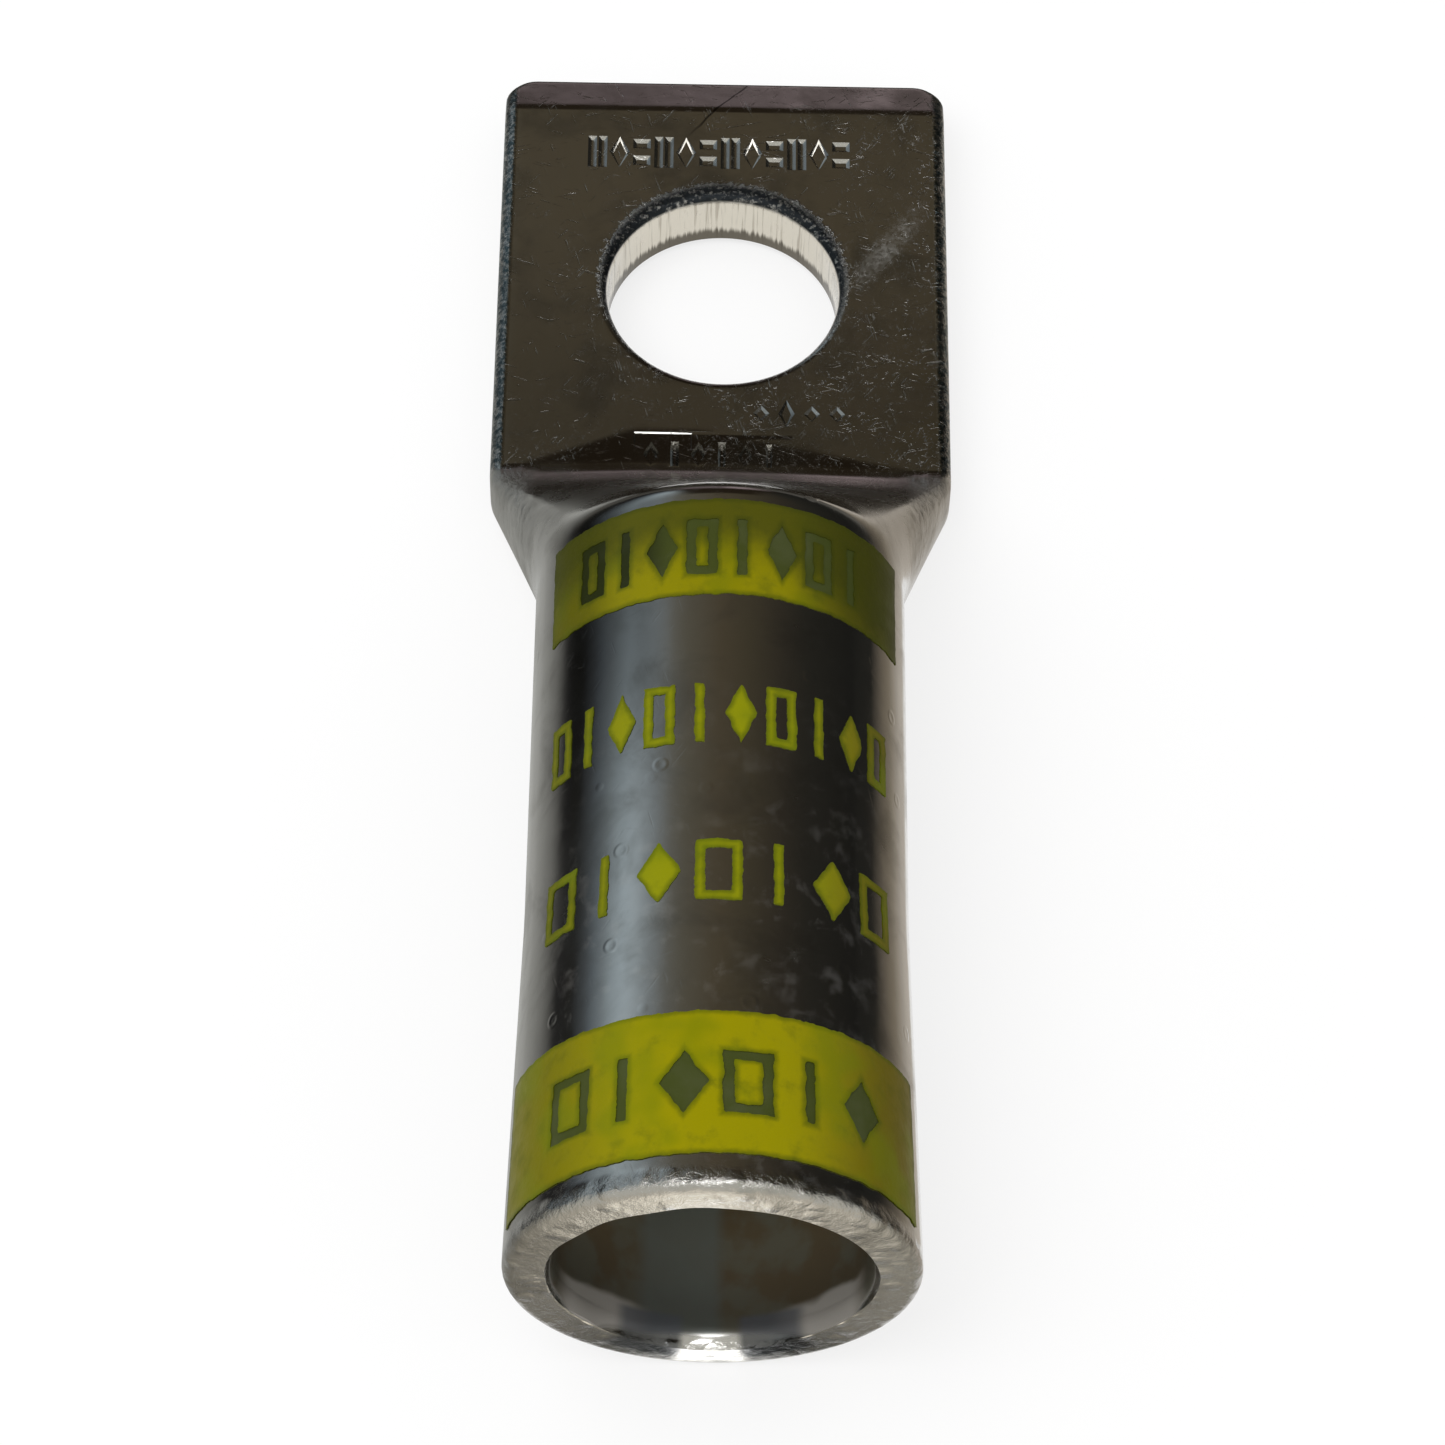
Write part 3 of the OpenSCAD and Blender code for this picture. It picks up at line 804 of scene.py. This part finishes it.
def ink_material(name, shaded_left_color, top_color, shaded_right_color, edge_color, green_color):
    """Thin glossy ink: darker towards its border, with painted shade towards its ends and on the
    barrel's left and right sides, and with pinholes and streaks.
    """
    material = bpy.data.materials.new(name)
    material.use_nodes = True
    tree = material.node_tree
    shader = tree.nodes["Principled BSDF"]
    place = add_node(tree, "ShaderNodeTexCoord").outputs["Object"]
    in_mm = add_node(tree, "ShaderNodeVectorMath", {"operation": "SCALE"}, Vector=place,
                     Scale=1000.0).outputs[0]
    across = add_node(tree, "ShaderNodeSeparateXYZ", Vector=in_mm).outputs["X"]
    # Painted shade: the ink is darker on the barrel's left and right sides than on its top.
    color = blend_colors(tree, spread(tree, across, -8.8, -3.0), shaded_left_color, top_color)
    color = blend_colors(tree, spread(tree, across, 3.0, 8.8), color, shaded_right_color)
    patch = add_node(tree, "ShaderNodeTexNoise", Vector=in_mm, Scale=0.7, Detail=4.0,
                     Roughness=0.6).outputs["Fac"]
    color = blend_colors(tree, spread(tree, patch, 0.5, 0.8, 0.0, 0.45), color, edge_color)
    border = add_node(tree, "ShaderNodeAttribute", {"attribute_name": "edge"}).outputs["Fac"]
    color = blend_colors(tree, spread(tree, border, 0.0, 1.0, 0.65, 0.0), color, edge_color)
    flow = add_node(tree, "ShaderNodeTexNoise", Vector=in_mm, Scale=0.28, Detail=2.0).outputs["Fac"]
    color = blend_colors(tree, spread(tree, flow, 0.46, 0.66, 0.0, 0.5), color, green_color)
    # The far edge of the upper band was printed thin and dark
    along = add_node(tree, "ShaderNodeSeparateXYZ", Vector=in_mm).outputs["Y"]
    thin = plus(tree, along, times(tree, patch, 1.6))
    thin = plus(tree, thin,
                times(tree, calculate(tree, "MAXIMUM", minus(tree, across, 2.0), 0.0), 0.5))
    thin = spread(tree, thin, -30.4, -26.8)
    color = blend_colors(tree, times(tree, thin, 0.8), color, (0.035, 0.040, 0.006, 1))
    # Painted shade: the upper band is darkened all over, and more towards its left and right ends.
    upper_band_painted_shade = plus(tree, spread(tree, across, 2.5, 6.5, 0.0, 0.40),
                     spread(tree, across, -5.0, -7.0, 0.0, 0.35))
    upper_band_painted_shade = times(tree, plus(tree, upper_band_painted_shade, 0.20), spread(tree, along, -35.5, -33.0))
    color = blend_colors(tree, upper_band_painted_shade, color, (0.035, 0.040, 0.002, 1))
    tree.links.new(color, shader.inputs["Base Color"])
    shader.inputs["Specular IOR Level"].default_value = 0.15
    shader.inputs["Specular Tint"].default_value = (0.8, 0.75, 0.12, 1)
    tree.links.new(spread(tree, patch, 0.3, 0.7, 0.28, 0.42), shader.inputs["Roughness"])
    fleck = add_node(tree, "ShaderNodeTexNoise", Vector=in_mm, Scale=3.5, Detail=3.0).outputs["Fac"]
    tree.links.new(add_bump(tree, fleck, 0.01 * mm, add_bump(tree, patch, 0.02 * mm)),
                   shader.inputs["Normal"])
    return material


band_ink = ink_material("band_ink", (0.150, 0.138, 0.002, 1), (0.255, 0.230, 0.001, 1),
                        (0.12, 0.095, 0.003, 1), (0.055, 0.075, 0.003, 1), (0.13, 0.16, 0.002, 1))
lower_near, lower_far = 0.9, 8.7
upper_near, upper_far = 33.1, 39.0
for name, near, far, ends, count, pitch, mark_w, seed in (
        ("lower_band", lower_near, lower_far, (-77, 72), 6, 2.95, 2.3, 3.0),
        ("upper_band", upper_near, upper_far, (-62, 68), 8, 2.05, 1.6, 21.0)):
    film = ink_film(name + "_film", band_field(near, far, ends, count, pitch, mark_w, seed), near,
                    far, ends)
    film.data.materials.append(band_ink)
    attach(film, "root")
    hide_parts(name)

# ---- Ink marks ------------------------------------------------------------------------
# Two rows of plain yellow marks between the bands, printed with the same pad. They are
# hollow oblongs, bars and diamonds, which stand for no letter or number.
mark_ink = ink_material("mark_ink", (0.14, 0.14, 0.003, 1), (0.22, 0.23, 0.003, 1),
                        (0.13, 0.105, 0.004, 1), (0.05, 0.07, 0.004, 1), (0.11, 0.15, 0.004, 1))
mark_h = 3.5
for name, middle, count, pitch, mark_w, seed in (
        ("lower_marks", lower_far + 6.3 + mark_h / 2, 7, 2.95, 2.3, 37.0),
        ("upper_marks", upper_near - 5.4 - mark_h / 2, 10, 2.05, 1.6, 52.0)):
    def inside(arc, along, row=(count, pitch, mark_w, mark_h, middle), seed=seed):
        return marks_at(arc, along, *row) + ragged(arc, along, seed)
    film = ink_film(name + "_film", inside, middle - mark_h / 2, middle + mark_h / 2, (-64, 64))
    film.data.materials.append(mark_ink)
    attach(film, "root")
    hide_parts(name)

# ---- Floor ----------------------------------------------------------------------------
# A plain pale floor at the height of the lug's lowest line. What the camera and the metal
# see of it is nearly white, and it keeps the lug's soft shadow.
floor_mesh = bpy.data.meshes.new("floor")
reach = 3.0
floor_mesh.from_pydata([(-reach, -reach, 0), (reach, -reach, 0), (reach, reach, 0),
                        (-reach, reach, 0)], [], [(0, 1, 2, 3)])
floor = bpy.data.objects.new("floor", floor_mesh)
floor.location.z = body_low.z
bpy.context.scene.collection.objects.link(floor)
pale = bpy.data.materials.new("pale_floor")
pale.use_nodes = True
tree = pale.node_tree
shader = tree.nodes["Principled BSDF"]
shader.inputs["Base Color"].default_value = (0.93, 0.93, 0.93, 1)
shader.inputs["Roughness"].default_value = 0.9
shader.inputs["Specular IOR Level"].default_value = 0.1
glow = add_node(tree, "ShaderNodeEmission", Color=(1, 1, 1, 1), Strength=1.0)
path = add_node(tree, "ShaderNodeLightPath")
seen = plus(tree, path.outputs["Is Camera Ray"], path.outputs["Is Glossy Ray"])
seen = plus(tree, seen, path.outputs["Is Transmission Ray"], clamp=True)
mixed = add_node(tree, "ShaderNodeMixShader", _0=times(tree, seen, 0.75))
tree.links.new(shader.outputs[0], mixed.inputs[1])
tree.links.new(glow.outputs[0], mixed.inputs[2])
tree.links.new(mixed.outputs[0], tree.nodes["Material Output"].inputs["Surface"])
floor_mesh.materials.append(pale)

# ---- Tent over the table --------------------------------------------------------------
# A dome that only the metal's reflections see, as a photographer hangs dark cloth over
# bright ware: dark brown ahead, a pale blue window on the left, white cloth behind the
# camera and a small lamp overhead.
tent_r = 1.5
columns, lines = 48, 24
points, faces = [], []
for j in range(lines + 1):
    tilt = math.pi / 2 * j / lines
    for i in range(columns):
        t = 2 * math.pi * i / columns
        points.append((tent_r * math.cos(t) * math.cos(tilt), tent_r * math.sin(t) * math.cos(tilt),
                       tent_r * math.sin(tilt)))
for j in range(lines):
    for i in range(columns):
        k = (i + 1) % columns
        faces.append((j * columns + i, j * columns + k, (j + 1) * columns + k,
                      (j + 1) * columns + i))
tent_mesh = bpy.data.meshes.new("tent")
tent_mesh.from_pydata(points, [], faces)
tent = bpy.data.objects.new("tent", tent_mesh)
bpy.context.scene.collection.objects.link(tent)
cloth = bpy.data.materials.new("tent_cloth")
cloth.use_nodes = True
tree = cloth.node_tree
tree.nodes.remove(tree.nodes["Principled BSDF"])
where = add_node(tree, "ShaderNodeVectorMath", {"operation": "NORMALIZE"},
                 _0=add_node(tree, "ShaderNodeNewGeometry").outputs["Position"]).outputs[0]
tx, ty, tz = add_node(tree, "ShaderNodeSeparateXYZ", Vector=where).outputs
swing = calculate(tree, "DIVIDE", calculate(tree, "ARCTAN2", tx, tz), math.pi)


def tone_ramp(tree, value, stops):
    """Colour ramp with linear colours at the given places."""
    node = add_node(tree, "ShaderNodeValToRGB", Fac=value)
    ramp = node.color_ramp
    ramp.elements[0].position, ramp.elements[1].position = stops[0][0], stops[-1][0]
    for spot, _ in stops[1:-1]:
        ramp.elements.new(spot)
    for element, (_, tint) in zip(ramp.elements, stops):
        element.color = (*tint, 1)
    return node.outputs["Color"]


sky = tone_ramp(tree, plus(tree, swing, 0.5, clamp=True), (
    (0.0, (0.03, 0.032, 0.034)), (0.043, (0.075, 0.085, 0.094)), (0.068, (0.125, 0.15, 0.175)),
    (0.11, (0.22, 0.26, 0.29)), (0.15, (0.35, 0.42, 0.47)), (0.185, (0.45, 0.54, 0.61)),
    (0.22, (0.44, 0.52, 0.58)), (0.285, (0.25, 0.285, 0.31)), (0.34, (0.15, 0.15, 0.135)),
    (0.39, (0.12, 0.112, 0.088)), (0.50, (0.090, 0.074, 0.049)), (0.59, (0.068, 0.058, 0.038)),
    (0.70, (0.042, 0.036, 0.027)), (0.80, (0.025, 0.024, 0.020)), (1.0, (0.014, 0.014, 0.013))))
low_gap = times(tree, spread(tree, ty, 0.66, 0.76), spread(tree, size_of(tree, tx), 0.34, 0.20))
tone = blend_colors(tree, low_gap, sky, (0.022, 0.016, 0.010, 1))
haze = add_node(tree, "ShaderNodeVectorMath", {"operation": "SCALE"}, _0=(0.19, 0.155, 0.165),
                Scale=spread(tree, tx, 0.0, 0.05, 1.0, 1.9)).outputs[0]
tone = blend_colors(tree, spread(tree, ty, 0.965, 0.99), tone, haze)
behind = spread(tree, ty, 0.1, -0.35)
tone = blend_colors(tree, behind, tone, (0.60, 0.60, 0.56, 1))
lamp_way = Vector((0.0, -0.21, 0.977)).normalized()
facing = add_node(tree, "ShaderNodeVectorMath", {"operation": "DOT_PRODUCT"}, _0=where,
                  _1=lamp_way).outputs["Value"]
lit = spread(tree, facing, math.cos(math.radians(12)), math.cos(math.radians(9)))
tone = blend_colors(tree, lit, tone, (6.0, 6.1, 6.3, 1))
shine = add_node(tree, "ShaderNodeEmission", Color=tone, Strength=1.0)
tree.links.new(shine.outputs[0], tree.nodes["Material Output"].inputs["Surface"])
tent_mesh.materials.append(cloth)


def only_reflected(obj):
    """Hides an object of the set from everything but the reflections in the metal."""
    obj.visible_camera = False
    obj.visible_diffuse = False
    obj.visible_transmission = False
    obj.visible_shadow = False
    obj.visible_volume_scatter = False


only_reflected(tent)

# Grey cloth on the table round the lug, seen only in the metal's reflections, whose painted
# reflections darken away from it. Before the mouth it has a bright band and a dark one, laid out
# for the rim, which mirrors them as a painted white highlight low in its middle.
left_x, right_x = -10.5 * mm, 14 * mm
near_y, far_y = mouth_y - 0.2 * mm, palm_end + 1 * mm
half = tent_r
cloth_mesh = bpy.data.meshes.new("table_cloth")
cloth_mesh.from_pydata(
    [(-half, -half, 0), (half, -half, 0), (half, half, 0), (-half, half, 0),
     (left_x, near_y, 0), (right_x, near_y, 0), (right_x, far_y, 0), (left_x, far_y, 0)],
    [], [(0, 1, 5, 4), (1, 2, 6, 5), (2, 3, 7, 6), (3, 0, 4, 7)])
table_cloth = bpy.data.objects.new("table_cloth", cloth_mesh)
table_cloth.location.z = body_low.z + 0.1 * mm
bpy.context.scene.collection.objects.link(table_cloth)
grey = bpy.data.materials.new("table_cloth")
grey.use_nodes = True
tree = grey.node_tree
tree.nodes.remove(tree.nodes["Principled BSDF"])
where = add_node(tree, "ShaderNodeNewGeometry").outputs["Position"]
aside, beyond, _ = add_node(tree, "ShaderNodeSeparateXYZ", Vector=where).outputs
tint = tone_ramp(tree, spread(tree, aside, -60 * mm, 60 * mm), (
    (0.0, (0.02, 0.02, 0.02)), (0.04, (0.10, 0.10, 0.097)), (0.22, (0.30, 0.305, 0.295)),
    (0.44, (0.60, 0.605, 0.585)), (0.60, (0.66, 0.61, 0.55)), (0.74, (0.44, 0.40, 0.35)),
    (0.81, (0.26, 0.225, 0.175)), (0.89, (0.17, 0.145, 0.115)), (0.98, (0.07, 0.062, 0.052)),
    (1.0, (0.02, 0.02, 0.018))))
behind_tint = tone_ramp(tree, calculate(tree, "MULTIPLY", size_of(tree, aside), 8.0, clamp=True),
                        ((0.0, (0.022, 0.019, 0.014)), (0.1, (0.04, 0.037, 0.03)),
                         (0.36, (0.14, 0.135, 0.125)), (0.5, (0.05, 0.048, 0.044)),
                         (0.7, (0.02, 0.02, 0.018)), (1.0, (0.02, 0.02, 0.018))))
tint = blend_colors(tree, spread(tree, beyond, palm_end, palm_end + 4 * mm), tint, behind_tint)
# Painted reflection for the mouth's rim: each spot's colour is set by the angle round the rim that
# mirrors it, and it is painted brightest a little left of the middle.
mirrored = minus(tree, calculate(tree, "DIVIDE", minus(tree, mouth_y, beyond), 0.525), barrel_r)
round_rim = calculate(tree, "DIVIDE",
                      size_of(tree, calculate(tree, "ARCTAN2", aside, times(tree, mirrored, -1.0))),
                      math.pi)
rim_painted_reflection = tone_ramp(tree, round_rim, ((0.0, (1.0, 1.0, 1.0)), (0.055, (1.0, 1.0, 1.0)),
                                       (0.075, (0.09, 0.10, 0.10)), (0.22, (0.11, 0.11, 0.10)),
                                       (0.28, (0.36, 0.34, 0.30)), (0.62, (0.42, 0.40, 0.34)),
                                       (0.80, (0.9, 0.84, 0.72)), (1.0, (1.0, 0.95, 0.84))))
side_light = times(tree, spread(tree, aside, -6.5 * mm, -4.5 * mm, 0.6, 1.35),
                   spread(tree, aside, 2.0 * mm, 3.6 * mm, 1.0, 0.52))
rim_painted_reflection = add_node(tree, "ShaderNodeVectorMath", {"operation": "SCALE"}, Vector=rim_painted_reflection,
                    Scale=times(tree, side_light,
                                spread(tree, round_rim, 0.07, 0.055, 1.0, 2.2))).outputs[0]
tint = blend_colors(tree, spread(tree, beyond, mouth_y, mouth_y - 0.3 * mm), tint, rim_painted_reflection)
shine = add_node(tree, "ShaderNodeEmission", Color=tint, Strength=1.0)
tree.links.new(shine.outputs[0], tree.nodes["Material Output"].inputs["Surface"])
cloth_mesh.materials.append(grey)
only_reflected(table_cloth)

# ---- Light ----------------------------------------------------------------------------
# Plain soft white light from all round, and one large soft lamp that gives the shadow.
world = bpy.data.worlds.new("studio")
bpy.context.scene.world = world
world.use_nodes = True
tree = world.node_tree
path = add_node(tree, "ShaderNodeLightPath")
seen = plus(tree, path.outputs["Is Camera Ray"], path.outputs["Is Glossy Ray"])
seen = plus(tree, seen, path.outputs["Is Transmission Ray"], clamp=True)
fill_strength = 0.75
tree.links.new(plus(tree, fill_strength, times(tree, seen, 1 - fill_strength)),
               tree.nodes["Background"].inputs["Strength"])
tree.nodes["Background"].inputs["Color"].default_value = (1, 1, 1, 1)
lamp_data = bpy.data.lights.new("soft_lamp", "AREA")
lamp_data.energy = 2.2
lamp_data.size = 0.5
lamp = bpy.data.objects.new("soft_lamp", lamp_data)
lamp.location = (-0.25, -0.15, 0.6)
lamp.rotation_euler = Vector(lamp.location).to_track_quat("Z", "Y").to_euler()
lamp.visible_glossy = False
bpy.context.scene.collection.objects.link(lamp)
bpy.context.scene.view_settings.view_transform = "Standard"
